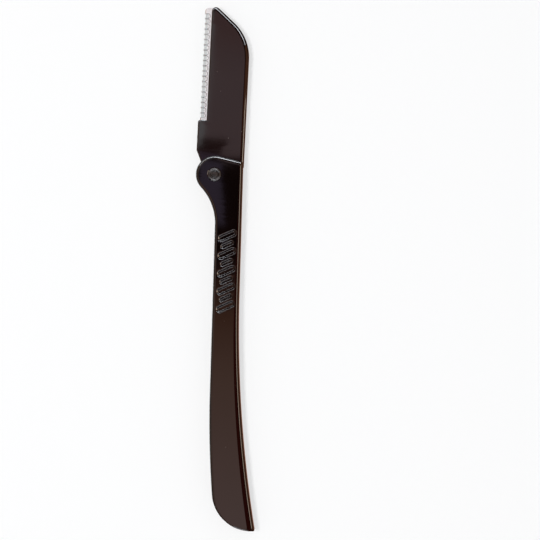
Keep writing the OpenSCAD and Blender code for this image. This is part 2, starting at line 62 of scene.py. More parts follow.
# Sizes in millimetres from the hinge's axis, with the middle of the thickness at zero height
handle_reach, half_thickness, cheek = 107.9, 3.5, 1.4
knuckle_r, throat_r, butt_r = 5.7, 16, 12
spine_x, grip_width, lean = 8.65, 8.1, 2 / handle_reach
shoulder_slope = radians(11)
spine_bow, spine_bow_start = 6.85, 36
edge_bow, edge_bow_start = 2.8, 66
edge_r, butt_edge_r, seam_chamfer = 0.9, 0.35, 0.06
spine_r, spine_cut, bevel_top, bevel_butt, bevel_slope = 2.4, radians(37), 0.2, 1.3, radians(12)
shoulder_corner_r, butt_corner_r = 0.7, 0.4
spine_wall, channel_reach, channel_corner_r, channel_rows, wall_top = 2.2, 52.3, 1.2, 24, 2.5
groove_count, groove_pitch, groove_start, groove_shift = 9, 2.7, 18.45, 0.15
groove_angle, groove_depth, groove_wall = radians(27), 0.55, 0.57
groove_mouth_r, groove_floor_r, groove_steps, groove_end_steps = 0.32, 0.28, 6, 12
# The distance between the centres of a groove's round ends, and its width
long_groove, short_groove = (4, 2.1), (2.85, 1.4)
hinge_hole_r, head_seat_r, head_seat_depth, seat_flare = 1.73, 2.08, 0.7, 0.1
thrust_r, thrust_height, bore_stock = 3.23, 1.9, 0.2
# How far a cutting tool reaches past what it cuts
overrun = 1

hinge = Vector(frame["joints"][0]["pos_m"])


def in_frame(x, y, z):
    return hinge + Vector((x, y, z)) / 1000


def mix(a, b, share):
    return a + (b - a) * share


def polar(r, angle):
    return Vector((r * cos(angle), r * sin(angle)))


def arc(centre, r, start, end, steps):
    return [centre + polar(r, mix(start, end, k / steps)) for k in range(steps + 1)]


def rounded(corner, towards_a, towards_b, r, steps):
    """A round of radius r at a corner, between the directions of its two sides."""
    half_open = towards_a.angle(towards_b) / 2
    centre = corner + (towards_a + towards_b).normalized() * r / sin(half_open)
    a = (corner + towards_a * r / tan(half_open) - centre) / r
    b = (corner + towards_b * r / tan(half_open) - centre) / r
    turn = pi - 2 * half_open
    return [centre + r * (sin((1 - k / steps) * turn) * a + sin(k / steps * turn) * b) / sin(turn)
            for k in range(steps + 1)]


def bow(y, start):
    return max(0, (-y - start) / (handle_reach - start))


def spine_at(y):
    return spine_x - y * lean + spine_bow * bow(y, spine_bow_start) ** 2


def edge_at(y):
    return spine_x - grip_width - y * lean + edge_bow * bow(y, edge_bow_start) ** 2


def spine_lean(y):
    return lean + 2 * spine_bow * bow(y, spine_bow_start) / (handle_reach - spine_bow_start)


def edge_lean(y):
    return lean + 2 * edge_bow * bow(y, edge_bow_start) / (handle_reach - edge_bow_start)


def inwards(slope):
    return Vector((1, slope)).normalized()


def bevel_at(y):
    return mix(bevel_top, bevel_butt, max(0, -y / handle_reach))


# An edge's section runs from the side, at share 0, to the face, at share 1: inset and drop
def quarter_round(share, r):
    return r * (1 - cos(share * pi / 2)), r * (1 - sin(share * pi / 2))


# The shares of the spine's section at which its round ends, its bevel starts and its bevel ends
round_share, bevel_start_share, bevel_end_share = 0.7, 0.75, 0.85
# The bevel starts at a line this far in from the side, and a narrow strip beside each of its two lines
# keeps them crisp
bevel_line, crisp_width = spine_r * (1 - sin(spine_cut)), 0.08


def spine_section(share, width):
    """A large round up from the side, a crisp line, and then a bevel of the given width."""
    crisp = min(crisp_width, width / 3)
    if share > bevel_end_share:
        return bevel_line + width, 0
    if share > bevel_start_share:
        return bevel_line + width - crisp, crisp * tan(bevel_slope)
    if share > round_share:
        return bevel_line + crisp, (width - crisp) * tan(bevel_slope)
    turn = (pi / 2 - spine_cut) * share / round_share
    return spine_r * (1 - cos(turn)), width * tan(bevel_slope) + spine_r * (cos(spine_cut) - sin(turn))


throat_angle = 2 * pi + atan(lean) - acos(
    ((spine_x - grip_width) * cos(atan(lean)) - throat_r) / (knuckle_r + throat_r))
throat_centre = polar(knuckle_r + throat_r, throat_angle)
throat_end = throat_centre.y + throat_r * sin(atan(lean))
butt_turn = atan(edge_lean(butt_r - handle_reach))
edge_end = -(handle_reach - butt_r * (1 - sin(butt_turn)))
butt_centre = Vector((edge_at(edge_end), edge_end)) + butt_r * inwards(edge_lean(edge_end))

# Rows across the handle
knuckle_rows, throat_rows, grip_rows, butt_rows, corner_rows = 44, 20, 60, 34, 6
row_ys = [mix(throat_end, edge_end, k / grip_rows) for k in range(1, grip_rows + 1)]


def handle_ring(side_section, spine_width_section):
    """The outline of the handle at one level of its edge, as the open side and the spine side."""
    inset, drop = side_section(edge_r)
    butt_inset, butt_drop = side_section(butt_edge_r)
    z = half_thickness - drop

    def on_spine(y):
        inset_here, drop_here = spine_width_section(bevel_at(y))
        p = Vector((spine_at(y), y)) - inset_here * inwards(spine_lean(y))
        return (p.x, p.y, half_thickness - drop_here)

    def cut_by_bevel(p, drop):
        inset_here = (spine_at(p.y) - p.x) * cos(atan(spine_lean(p.y)))
        drop = max(drop, (bevel_line + bevel_at(p.y) - inset_here) * tan(bevel_slope))
        return (p.x, p.y, half_thickness - drop)

    bevel_inset, bevel_drop = spine_width_section(bevel_butt)
    end = 2 * pi - acos((spine_at(-handle_reach) - bevel_inset - butt_centre.x) / (butt_r - butt_inset))
    last = end - 2 * asin(butt_corner_r / butt_r)
    left = [(*p, z) for p in arc(Vector((0, 0)), knuckle_r - inset, pi / 2 - shoulder_slope,
                                 throat_angle, knuckle_rows)]
    left += [(*p, z) for p in arc(throat_centre, throat_r + inset, throat_angle - pi, atan(lean),
                                  throat_rows)[1:]]
    left += [(edge_at(y) + inset * inwards(edge_lean(y)).x, y + inset * inwards(edge_lean(y)).y, z)
             for y in row_ys]
    for k in range(1, butt_rows + 1):
        here_inset, here_drop = side_section(mix(edge_r, butt_edge_r, sin(k / butt_rows * pi / 2)))
        p = butt_centre + polar(butt_r - here_inset, mix(pi + butt_turn, last, k / butt_rows))
        left.append(cut_by_bevel(p, here_drop))

    def shoulder_y(x):
        return (knuckle_r - inset - x * sin(shoulder_slope)) / cos(shoulder_slope)

    corner_x = spine_at(shoulder_y(spine_x)) - spine_width_section(bevel_at(0))[0]
    corner = Vector((corner_x, shoulder_y(corner_x)))
    top_drop = spine_width_section(bevel_at(corner.y))[1]
    right = [(*p, half_thickness - mix(drop, top_drop, k / corner_rows)) for k, p in enumerate(
        rounded(corner, polar(1, pi - shoulder_slope), Vector((spine_lean(0), -1)).normalized(),
                shoulder_corner_r, corner_rows))]
    top_y, foot_y = corner.y - 2 * shoulder_corner_r, knuckle_r * sin(throat_angle)
    rows = knuckle_rows - corner_rows
    right += [on_spine(mix(top_y, foot_y, k / rows)) for k in range(1, rows + 1)]
    right += [on_spine(mix(foot_y, throat_end, k / throat_rows)) for k in range(1, throat_rows + 1)]
    right += [on_spine(y) for y in row_ys]
    butt = butt_centre + polar(butt_r - butt_inset, end)
    rows = butt_rows - corner_rows - 1
    right += [on_spine(mix(edge_end, butt.y + 2 * butt_corner_r, k / rows)) for k in range(1, rows + 1)]
    right += [cut_by_bevel(p, mix(bevel_drop, butt_drop, k / corner_rows)) for k, p in enumerate(
        rounded(butt, Vector((-spine_lean(butt.y), 1)).normalized(), polar(1, end - pi / 2),
                butt_corner_r, corner_rows))]
    return left, right


def groove_centre(i):
    y = -groove_start - i * groove_pitch
    return Vector(((edge_at(y) + spine_at(y)) / 2 - groove_shift, y))


def groove_levels(centre, length, width):
    """The tool for a groove: a rounded mouth, a sloping wall, and a rounded floor."""
    wall = atan(groove_depth / groove_wall)
    turns = [k / groove_steps * wall for k in range(groove_steps + 1)]
    mouth = [(groove_mouth_r * (tan(wall / 2) - sin(a)), groove_mouth_r * (1 - cos(a))) for a in turns]
    floor = [(groove_floor_r * (sin(a) - tan(wall / 2)) - groove_wall,
              groove_depth - groove_floor_r * (1 - cos(a))) for a in turns[::-1]]
    # The mouth's first facet runs on a little above the face, so that it cuts the face cleanly
    rise = 2 * mouth[0][0] - mouth[1][0]
    section = [(rise, -overrun), (rise, -mouth[1][1]), *mouth[1:], *floor]
    end = polar(length / 2, groove_angle)
    across = groove_angle - pi / 2
    return [([*arc(centre + end, width / 2 + out, across, across + pi, groove_end_steps),
              *arc(centre - end, width / 2 + out, across + pi, across + 2 * pi, groove_end_steps)],
             half_thickness - drop) for out, drop in section]


def moulded_half(name, rings, side):
    """A closed solid from the seam to the front face, at side 1, or to the back face, at side -1,
    through rings of a left and a right part."""
    bm = bmesh.new()
    rings = [[bm.verts.new(in_frame(x, y, side * z)) for x, y, z in (*left, *right[::-1])]
             for left, right in rings]
    for a, b in zip(rings, rings[1:]):
        for k in range(len(a)):
            j = (k + 1) % len(a)
            bm.faces.new([a[k], a[j], b[j], b[k]][::side])
    for ring, turn in ((rings[0], -side), (rings[-1], side)):
        for k in range(len(ring) // 2 - 1):
            bm.faces.new([ring[k], ring[k + 1], ring[-k - 2], ring[-k - 1]][::turn])
    bmesh.ops.triangulate(bm, faces=bm.faces)
    return into_object(name, bm)


def into_object(name, bm):
    shape = bpy.data.meshes.new(name)
    bm.to_mesh(shape)
    bm.free()
    piece = bpy.data.objects.new(name, shape)
    bpy.context.scene.collection.objects.link(piece)
    return piece


def lofted(levels, side=1):
    """A cutter through outlines of as many points, each with its height."""
    bm = bmesh.new()
    rings = [[bm.verts.new(in_frame(x, y, side * z)) for x, y in outline] for outline, z in levels]
    bm.faces.new(rings[0])
    bm.faces.new(rings[-1])
    for a, b in zip(rings, rings[1:]):
        for k in range(len(a)):
            j = (k + 1) % len(a)
            bm.faces.new([a[k], a[j], b[j], b[k]])
    bmesh.ops.recalc_face_normals(bm, faces=bm.faces)
    bmesh.ops.triangulate(bm, faces=bm.faces)
    return into_object("cutter", bm)


def prism(outline, low, high):
    return lofted([(outline, low), (outline, high)])


def turned(name, section, side=1, segments=96):
    """A solid of revolution about the hinge's axis, from a section of radius and height."""
    bm = bmesh.new()
    rings = []
    for r, z in section:
        if r == 0:
            rings.append([bm.verts.new(in_frame(0, 0, side * z))])
        else:
            rings.append([bm.verts.new(in_frame(*polar(r, 2 * pi * k / segments), side * z))
                          for k in range(segments)])
    pairs = list(zip(rings, rings[1:]))
    if len(rings[0]) > 1:
        pairs.append((rings[-1], rings[0]))
    for a, b in pairs:
        for k in range(segments):
            corners = [a[k % len(a)], a[(k + 1) % len(a)], b[(k + 1) % len(b)], b[k % len(b)]]
            bm.faces.new(list(dict.fromkeys(corners))[::side])
    return into_object(name, bm)


def settle(piece):
    """Turns a piece's modifiers into plain mesh."""
    seen = piece.evaluated_get(bpy.context.evaluated_depsgraph_get())
    shape = bpy.data.meshes.new_from_object(seen)
    piece.modifiers.clear()
    piece.data = shape


# The widest gap that is closed, in metres
seam_gap = 5e-6


def close_seams(piece):
    """Merges the points that a cut leaves a few thousandths of a millimetre apart."""
    bm = bmesh.new()
    bm.from_mesh(piece.data)
    bmesh.ops.remove_doubles(bm, verts=bm.verts, dist=seam_gap)
    bmesh.ops.holes_fill(bm, edges=[e for e in bm.edges if e.is_boundary], sides=4)
    bm.to_mesh(piece.data)
    bm.free()


def carve(piece, tool, operation="DIFFERENCE"):
    step = piece.modifiers.new("carve", "BOOLEAN")
    step.object, step.operation, step.solver = tool, operation, "EXACT"
    settle(piece)
    close_seams(piece)
    bpy.data.objects.remove(tool)


def add_node(tree, kind, values=None, links=None, **settings):
    node = tree.nodes.new(kind)
    for setting, value in settings.items():
        setattr(node, setting, value)
    for socket, value in (values or {}).items():
        node.inputs[socket].default_value = value
    for socket, source in (links or {}).items():
        tree.links.new(source, node.inputs[socket])
    return node


# A row of equal cuts, a step apart
row = bpy.data.node_groups.new("row of cuts", "GeometryNodeTree")
row.interface.new_socket("Piece", in_out="INPUT", socket_type="NodeSocketGeometry")
row.interface.new_socket("Cut piece", in_out="OUTPUT", socket_type="NodeSocketGeometry")
row_inputs = [row.interface.new_socket(label, in_out="INPUT", socket_type=kind).identifier
              for label, kind in (("Tool", "NodeSocketObject"), ("Cuts", "NodeSocketInt"),
                                  ("Step", "NodeSocketVector"), ("Material", "NodeSocketMaterial"))]
given = add_node(row, "NodeGroupInput")
line = add_node(row, "GeometryNodeMeshLine", links={
    "Count": given.outputs["Cuts"], "Offset": given.outputs["Step"]})
shape = add_node(row, "GeometryNodeObjectInfo", links={"Object": given.outputs["Tool"]})
tools = add_node(row, "GeometryNodeInstanceOnPoints", links={
    "Points": line.outputs[0], "Instance": shape.outputs["Geometry"]})
tools = add_node(row, "GeometryNodeRealizeInstances", links={0: tools.outputs[0]})
cut_piece = add_node(row, "GeometryNodeMeshBoolean", links={
    0: given.outputs["Piece"], 1: tools.outputs[0]}, operation="DIFFERENCE", solver="EXACT")
real = add_node(row, "GeometryNodeRealizeInstances", links={0: cut_piece.outputs[0]})
dressed = add_node(row, "GeometryNodeSetMaterial", links={
    0: real.outputs[0], "Material": given.outputs["Material"]})
add_node(row, "NodeGroupOutput", links={0: dressed.outputs[0]})


def carve_row(piece, tool, cuts, step, material):
    """Carves a tool's shape out of a piece again and again, a step in millimetres apart."""
    cutting = piece.modifiers.new("row of cuts", "NODES")
    cutting.node_group = row
    for identifier, value in zip(row_inputs, (tool, cuts, Vector((*step, 0)) / 1000, material)):
        cutting[identifier] = value
    settle(piece)
    close_seams(piece)
    bpy.data.objects.remove(tool)


def smooth(piece, sharp_angle):
    """Soft shading between faces that meet at less than the angle, led by the larger faces."""
    piece.data.shade_smooth()
    piece.data.set_sharp_from_angle(angle=radians(sharp_angle))
    level = piece.modifiers.new("level", "WEIGHTED_NORMAL")
    level.weight, level.keep_sharp = 100, True
    settle(piece)


def colour(code):
    """An sRGB hex colour as linear values."""
    shares = [int(code[i:i + 2], 16) / 255 for i in (1, 3, 5)]
    return [s / 12.92 if s <= 0.04045 else ((s + 0.055) / 1.055) ** 2.4 for s in shares] + [1]


# The two colours of a Mix node
first_colour, second_colour = 6, 7


def moulded_plastic(name, light_code, dark_code, roughness=0.04):
    """Injection-moulded ABS from a polished mould: smooth gloss over faint flow marks, a fine
    satin grain too shallow to feel, slight clouding of its colour, and a few dust specks."""
    material = bpy.data.materials.new(name)
    material.use_nodes = True
    tree = material.node_tree
    surface = tree.nodes["Principled BSDF"]
    surface.inputs["IOR"].default_value = 1.45
    where = add_node(tree, "ShaderNodeTexCoord").outputs["Object"]
    # Clouds 9 mm across, flow marks 14 mm across and 0.012 mm deep, and grain 0.3 mm across and less
    # than a thousandth of a millimetre deep (coarser than the real 0.05 mm, so that it shows)
    clouds = add_node(tree, "ShaderNodeTexNoise", {"Scale": 1 / 0.009, "Detail": 3}, {"Vector": where})
    grain = add_node(tree, "ShaderNodeTexNoise", {"Scale": 1 / 0.0003, "Detail": 2}, {"Vector": where})
    flow = add_node(tree, "ShaderNodeTexNoise", {"Scale": 1 / 0.014, "Detail": 1}, {"Vector": where})
    body = add_node(tree, "ShaderNodeMix",
                    {first_colour: colour(dark_code), second_colour: colour(light_code)},
                    {"Factor": clouds.outputs["Fac"]}, data_type="RGBA")
    # Dust specks 0.2 mm across, in about one of five cells 2 mm across
    cells = add_node(tree, "ShaderNodeTexVoronoi", {"Scale": 1 / 0.002}, {"Vector": where})
    near = add_node(tree, "ShaderNodeMath", {1: 0.045}, {0: cells.outputs["Distance"]},
                    operation="LESS_THAN")
    rare = add_node(tree, "ShaderNodeMath", {1: 0.78}, {0: cells.outputs["Color"]},
                    operation="GREATER_THAN")
    dusty = add_node(tree, "ShaderNodeMath", links={0: near.outputs[0], 1: rare.outputs[0]},
                     operation="MULTIPLY")
    body = add_node(tree, "ShaderNodeMix", {second_colour: colour("#6e6560")},
                    {"Factor": dusty.outputs[0], first_colour: body.outputs[2]}, data_type="RGBA")
    tree.links.new(body.outputs[2], surface.inputs["Base Color"])
    gloss = add_node(tree, "ShaderNodeMapRange",
                     {"To Min": roughness - 0.015, "To Max": roughness + 0.015},
                     {"Value": clouds.outputs["Fac"]})
    tree.links.new(gloss.outputs[0], surface.inputs["Roughness"])
    waves = add_node(tree, "ShaderNodeBump", {"Strength": 1, "Distance": 0.000012},
                     {"Height": flow.outputs["Fac"]})
    fine = add_node(tree, "ShaderNodeBump", {"Strength": 0.5, "Distance": 0.0000007},
                    {"Height": grain.outputs["Fac"], "Normal": waves.outputs[0]})
    tree.links.new(fine.outputs[0], surface.inputs["Normal"])
    return material


handle_plastic = moulded_plastic("moulded black-brown ABS", "#0e0605", "#080403")
channel_end = Vector((spine_at(-channel_reach) - spine_wall, -channel_reach))
channel = [(spine_at(y) - spine_wall, y)
           for y in (mix(wall_top, channel_corner_r - channel_reach, k / channel_rows)
                     for k in range(channel_rows + 1))]
channel += [tuple(p) for p in rounded(
    channel_end, Vector((-spine_lean(-channel_reach), 1)).normalized(), Vector((-1, 0)),
    channel_corner_r, corner_rows)]
channel += [(-knuckle_r - overrun, -channel_reach), (-knuckle_r - overrun, knuckle_r + overrun),
            (spine_x + overrun, knuckle_r + overrun), (spine_x + overrun, wall_top)]

edge_levels = [0, 0.12, 0.24, 0.36, 0.48, 0.6, round_share, bevel_start_share, bevel_end_share, 1]
handle_rings = [
    handle_ring(lambda r: (seam_chamfer, half_thickness), lambda w: (seam_chamfer, half_thickness)),
    handle_ring(lambda r: (0, half_thickness - seam_chamfer), lambda w: (0, half_thickness - seam_chamfer)),
    *(handle_ring(lambda r: quarter_round(share, r), lambda w: spine_section(share, w))
      for share in edge_levels)]

for node, side in (("handle_back", -1), ("handle_front", 1)):
    shell = moulded_half(node + "_shell", handle_rings, side)
    seam, inner = sorted((-side * overrun, side * (half_thickness - cheek)))
    carve(shell, prism(channel, seam, inner))
    boss_r, boss_top = hinge_hole_r - bore_stock, half_thickness - cheek / 2
    carve(shell, turned("boss", [
        (boss_r, thrust_height), (thrust_r, thrust_height), (thrust_r, boss_top), (boss_r, boss_top)],
        side), "UNION")
    seat = half_thickness - head_seat_depth
    carve(shell, turned("bore", [
        (0, thrust_height - overrun), (hinge_hole_r, thrust_height - overrun), (hinge_hole_r, seat),
        (head_seat_r, seat), (head_seat_r, half_thickness - seat_flare),
        (head_seat_r + 2 * seat_flare, half_thickness + seat_flare), (0, half_thickness + seat_flare)], side))
    for first, (length, width) in enumerate((long_groove, short_groove)):
        cuts = (groove_count + 1 - first) // 2
        step = (groove_centre(first + 2 * cuts - 2) - groove_centre(first)) / (cuts - 1)
        tool = lofted(groove_levels(groove_centre(first), length, width), side)
        carve_row(shell, tool, cuts, step, handle_plastic)
    smooth(shell, sharp_angle=38)
    shell.data.materials.clear()
    shell.data.materials.append(handle_plastic)
    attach(shell, "handle")
    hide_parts(node)

# Hinge sleeve
# The hollow half of the rivet, moulded with the front head and turned smooth. Its end face keeps the
# fine rings of the tool. The blade holder turns on its barrel.

sleeve_r, sleeve_bore_r, head_r, head_under, head_top = 1.7, 1.23, 2.05, 2.8, 3.4
# The tool's rings, drawn coarser than the real ones, so that they show
head_edge, ring_pitch, ring_height, ring_points = 0.12, 0.24, 0.03, 8


def turned_face(inner_r, outer_r, z):
    """The section of a face with the tool's wavy rings, from its outer to its inner radius."""
    count = round((outer_r - inner_r) / ring_pitch) * ring_points
    return [(mix(outer_r, inner_r, k / count), z - ring_height * (1 - cos(2 * pi * k / ring_points)))
            for k in range(count + 1)]


sleeve = turned("hinge_sleeve_piece", [
    (sleeve_bore_r, -head_under), (sleeve_r, -head_under), (sleeve_r, head_under), (head_r, head_under),
    (head_r, head_top - head_edge), *turned_face(sleeve_bore_r + head_edge, head_r - head_edge, head_top),
    (sleeve_bore_r, head_top - head_edge)])
smooth(sleeve, sharp_angle=50)
hinge_plastic = moulded_plastic("moulded and turned ABS", "#16100d", "#100b09", roughness=0.35)
sleeve.data.materials.append(hinge_plastic)
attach(sleeve, "handle")
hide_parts("hinge_sleeve")

# Hinge pin
# The solid half of the rivet, with the back head. Its stem fills the sleeve, and its dished end shows
# in the middle of the front head. Pressed in, so that the two cheeks can't spread.

stem_r, stem_top, dish_r, dish_depth, dish_steps = 1.2, 3.25, 0.8, 0.15, 6
dish = [(dish_r * (1 - k / dish_steps), dish_depth * (1 - (1 - k / dish_steps) ** 2))
        for k in range(dish_steps + 1)]
pin = turned("hinge_pin_piece", [
    *((r, drop - head_top) for r, drop in dish[::-1]),
    *((r, -z) for r, z in turned_face(dish_r + ring_pitch, head_r - head_edge, head_top)[::-1]),
    (head_r, head_edge - head_top), (head_r, -head_under), (stem_r, -head_under),
    (stem_r, stem_top - head_edge), *turned_face(dish_r + ring_pitch / 2, stem_r - head_edge, stem_top),
    *((r, stem_top - drop) for r, drop in dish)])
smooth(pin, sharp_angle=50)
pin.data.materials.append(hinge_plastic)
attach(pin, "handle")
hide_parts("hinge_pin")

# Blade holder
# Two flat halves of injection-moulded ABS that clamp the blade and its guard between them. The tang at
# the foot turns on the sleeve, and its square heel rests on the handle's spine when open.

holder_reach, half_holder, blade_side, holder_spine = 51.1, 1.8, 3.3, 8.75
nose_slope, crown_r, tip_r, tip_sharp_share = radians(40.6), 14.5, 1.3, 0.3
ledge_y, ledge_out, ledge_height, facet = 16.5, 2.6, 9.3, radians(23.6)
crown_edge_r, holder_spine_r, side_edge_r, ledge_corner_r = 1.3, 1.5, 0.5, 0.7
tang_r, heel_y, tang_bore_r, relief_r, relief_depth, relief_steps = 4.9, 2.6, 1.75, 0.4, 1.2, 24
tip_rows, crown_rows, ledge_rows = 12, 30, 4
# The strip of blade and guard: its foot, its top outside and inside the holder, the holder's wall
# between it and the nose, and how far its outer part reaches the holder's side
strip_foot, strip_top, hidden_top, nose_wall, strip_step, strip_corner_rows = 16.55, 50.9, 49, 1.7, 0.1, 8

nose_side = polar(1, pi / 2 - nose_slope)
nose_reach = Vector((tip_r - blade_side, holder_reach - tip_r)).dot(nose_side) + tip_r
crown_x = holder_spine - crown_r
crown_centre = Vector((crown_x, (nose_reach - crown_r - crown_x * nose_side.x) / nose_side.y))


def nose_y(x, inset):
    return (nose_reach - inset - x * nose_side.x) / nose_side.y


def holder_ring(section):
    """The outline of the holder at one level of its edge, as the blade side and the spine side."""
    side_inset, side_drop = section(side_edge_r)
    top_inset, top_drop = section(crown_edge_r)
    spine_inset, spine_drop = section(holder_spine_r)
    x, z = side_inset - blade_side, half_holder - side_drop
    # The tip's corner gets sharper from the side to the face
    sharpness = section(1)[0]
    tip = rounded(Vector((x, nose_y(x, top_inset))), Vector((0, -1)), polar(1, -nose_slope),
                  tip_r * mix(1, tip_sharp_share, sharpness), tip_rows)
    count = tip_rows + crown_rows
    ledge_x, facet_y = -blade_side - ledge_out, ledge_y - ledge_height
    left = [(tip[0].x, tip[0].y, z)]
    left += [(x, mix(tip[0].y, crown_centre.y, k / count), z) for k in range(1, count + 1)]
    left += [(x, ledge_y - side_inset, z)]
    left += [(*p, z) for p in rounded(
        Vector((ledge_x + side_inset, ledge_y - side_inset)), Vector((1, 0)), Vector((0, -1)),
        ledge_corner_r, ledge_rows)]
    left += [(*p, z) for p in rounded(
        Vector((ledge_x + side_inset, facet_y + side_inset * (1 - cos(facet)) / sin(facet))),
        Vector((0, 1)), polar(1, facet - pi / 2), ledge_corner_r, ledge_rows)]
    left += [(ledge_x + (facet_y - heel_y) * tan(facet) + side_inset / cos(facet), heel_y, z)]
    right = [(p.x, p.y, half_holder - mix(side_drop, top_drop, k / tip_rows))
             for k, p in enumerate(tip) if k]
    for k in range(crown_rows + 1):
        share = k / crown_rows
        p = crown_centre + polar(crown_r - mix(top_inset, spine_inset, share),
                                 mix(pi / 2 - nose_slope, 0, share))
        right.append((p.x, p.y, half_holder - mix(top_drop, spine_drop, share)))
    rows = len(left) - len(right)
    right += [(holder_spine - spine_inset, mix(ledge_y, heel_y, k / (rows - 1)), half_holder - spine_drop)
              for k in range(rows)]
    return left, right


def strip_outline(out, hold, corner_r, gap):
    """The plan of the blade's or the guard's strip, with its hidden sides grown by a gap."""
    foot, back, high = strip_foot - gap, hold - blade_side + gap, hidden_top + gap
    nose_x = (nose_reach - nose_wall + gap - high * nose_side.y) / nose_side.x
    outline = [(-blade_side - out, foot)]
    outline += [tuple(p) for p in rounded(
        Vector((-blade_side - out, strip_top)), Vector((0, -1)), Vector((1, 0)), corner_r,
        strip_corner_rows)]
    outline += [(-blade_side - strip_step, strip_top), (-blade_side - strip_step, high)]
    outline += [(nose_x, high), (back, nose_y(back, nose_wall - gap))] if nose_x < back else [(back, high)]
    return outline + [(back, foot)]


holder_plastic = moulded_plastic("moulded dark brown ABS", "#180907", "#110605")
blade_half, foil = 0.15, 0.12
guard_out, blade_hold, flange_hold, guard_corner_r, clamp_gap = 2, 5, 1, 1, 0.03
holder_rings = [
    holder_ring(lambda r: (seam_chamfer, half_holder)),
    holder_ring(lambda r: (0, half_holder - seam_chamfer)),
    *(holder_ring(lambda r: quarter_round(share, r)) for share in edge_levels)]

for node, side in (("holder_back", -1), ("holder_front", 1)):
    half = moulded_half(node + "_half", holder_rings, side)
    carve(half, turned("tang", [(0, 0), (tang_r, 0), (tang_r, half_holder), (0, half_holder)], side), "UNION")
    carve(half, turned("bore", [
        (0, -overrun), (tang_bore_r, -overrun), (tang_bore_r, half_holder + overrun),
        (0, half_holder + overrun)], side))
    for depth, hold in ((blade_half, blade_hold), (blade_half + foil, flange_hold)):
        low, high = sorted((-side * overrun, side * depth))
        carve(half, prism(strip_outline(guard_out + overrun, hold, guard_corner_r, clamp_gap), low, high))
    relief = arc(Vector((-blade_side, ledge_y)), relief_r, 0, 2 * pi, relief_steps)[:-1]
    carve(half, lofted([(relief, half_holder - relief_depth), (relief, half_holder + overrun)], side))
    smooth(half, sharp_angle=38)
    half.data.materials.clear()
    half.data.materials.append(holder_plastic)
    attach(half, "blade_holder")
    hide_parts(node)

# Blade
# A strip of hardened stainless steel, 0.3 mm thick, with one edge ground from both sides. Its flats keep
# the fine lines of rolling. The holder's halves clamp it over two pegs.


def steel(name, light_code, dark_code, cut_and_shade_code, roughness, line_scale, line_depth):
    """Stainless steel with the fine lines of rolling along one direction, duller patches, and a darker colour
    on faces that tilt away from level: partly duller cut steel, partly painted shade.
    """
    material = bpy.data.materials.new(name)
    material.use_nodes = True
    tree = material.node_tree
    surface = tree.nodes["Principled BSDF"]
    surface.inputs["Metallic"].default_value = 1
    places = add_node(tree, "ShaderNodeTexCoord")
    where = places.outputs["Object"]
    stretched = add_node(tree, "ShaderNodeMapping", {"Scale": line_scale}, {"Vector": where})
    lines = add_node(tree, "ShaderNodeTexNoise", {"Scale": 1, "Detail": 2}, {"Vector": stretched.outputs[0]})
    # Patches 4 mm across
    patches = add_node(tree, "ShaderNodeTexNoise", {"Scale": 1 / 0.004}, {"Vector": where})
    body = add_node(tree, "ShaderNodeMix",
                    {first_colour: colour(dark_code), second_colour: colour(light_code)},
                    {"Factor": lines.outputs["Fac"]}, data_type="RGBA")
    # Cut and folded edges tilt away from level and get a darker colour: partly the duller sheared steel,
    # partly painted shade for the dark lines their tilt shows
    tilt = add_node(tree, "ShaderNodeSeparateXYZ", links={"Vector": places.outputs["Normal"]})
    level = add_node(tree, "ShaderNodeMath", links={0: tilt.outputs["Z"]}, operation="ABSOLUTE")
    level_share = add_node(tree, "ShaderNodeMapRange", {"From Min": 0.6, "From Max": 0.97},
                      {"Value": level.outputs[0]})
    body = add_node(tree, "ShaderNodeMix", {first_colour: colour(cut_and_shade_code)},
                    {"Factor": level_share.outputs[0], second_colour: body.outputs[2]}, data_type="RGBA")
    tree.links.new(body.outputs[2], surface.inputs["Base Color"])
    rough = add_node(tree, "ShaderNodeMapRange", {"To Min": roughness - 0.06, "To Max": roughness + 0.06},
                     {"Value": patches.outputs["Fac"]})
    tree.links.new(rough.outputs[0], surface.inputs["Roughness"])
    fine = add_node(tree, "ShaderNodeBump", {"Strength": 0.4, "Distance": line_depth},
                    {"Height": lines.outputs["Fac"]})
    tree.links.new(fine.outputs[0], surface.inputs["Normal"])
    return material


# Rolling lines 0.2 mm apart run along the strip: drawn coarser than the real ones, so that they show
# Its grey cut colour is painted shade on the blade's tilted edges, partly duller ground steel
blade_steel = steel("rolled and ground stainless steel", "#eef6f6", "#d8e0e0", "#a8acb0", 0.2,
                    (1 / 0.0002, 1 / 0.006, 1 / 0.0002), 0.000003)
blade = frame["nodes"]["blade"]
blade.data.materials.clear()
blade.data.materials.append(blade_steel)

# Blade guard
# A strip of stainless foil, 0.12 mm thick, folded round the cutting edge. A row of punched windows
# leaves narrow bars that hold the skin away from the edge. Its flanges are clamped in the holder.

window_count, window_pitch, window_start, window_length, bar, flare = 20, 1.6, 0.78, 1.55, 0.35, 0.13
guard_half, guard_nose, flange_x = blade_half + foil, -blade_side - guard_out, flange_hold - blade_side
outer_fold_steps, inner_fold_steps, window_end_steps = 14, 12, 14

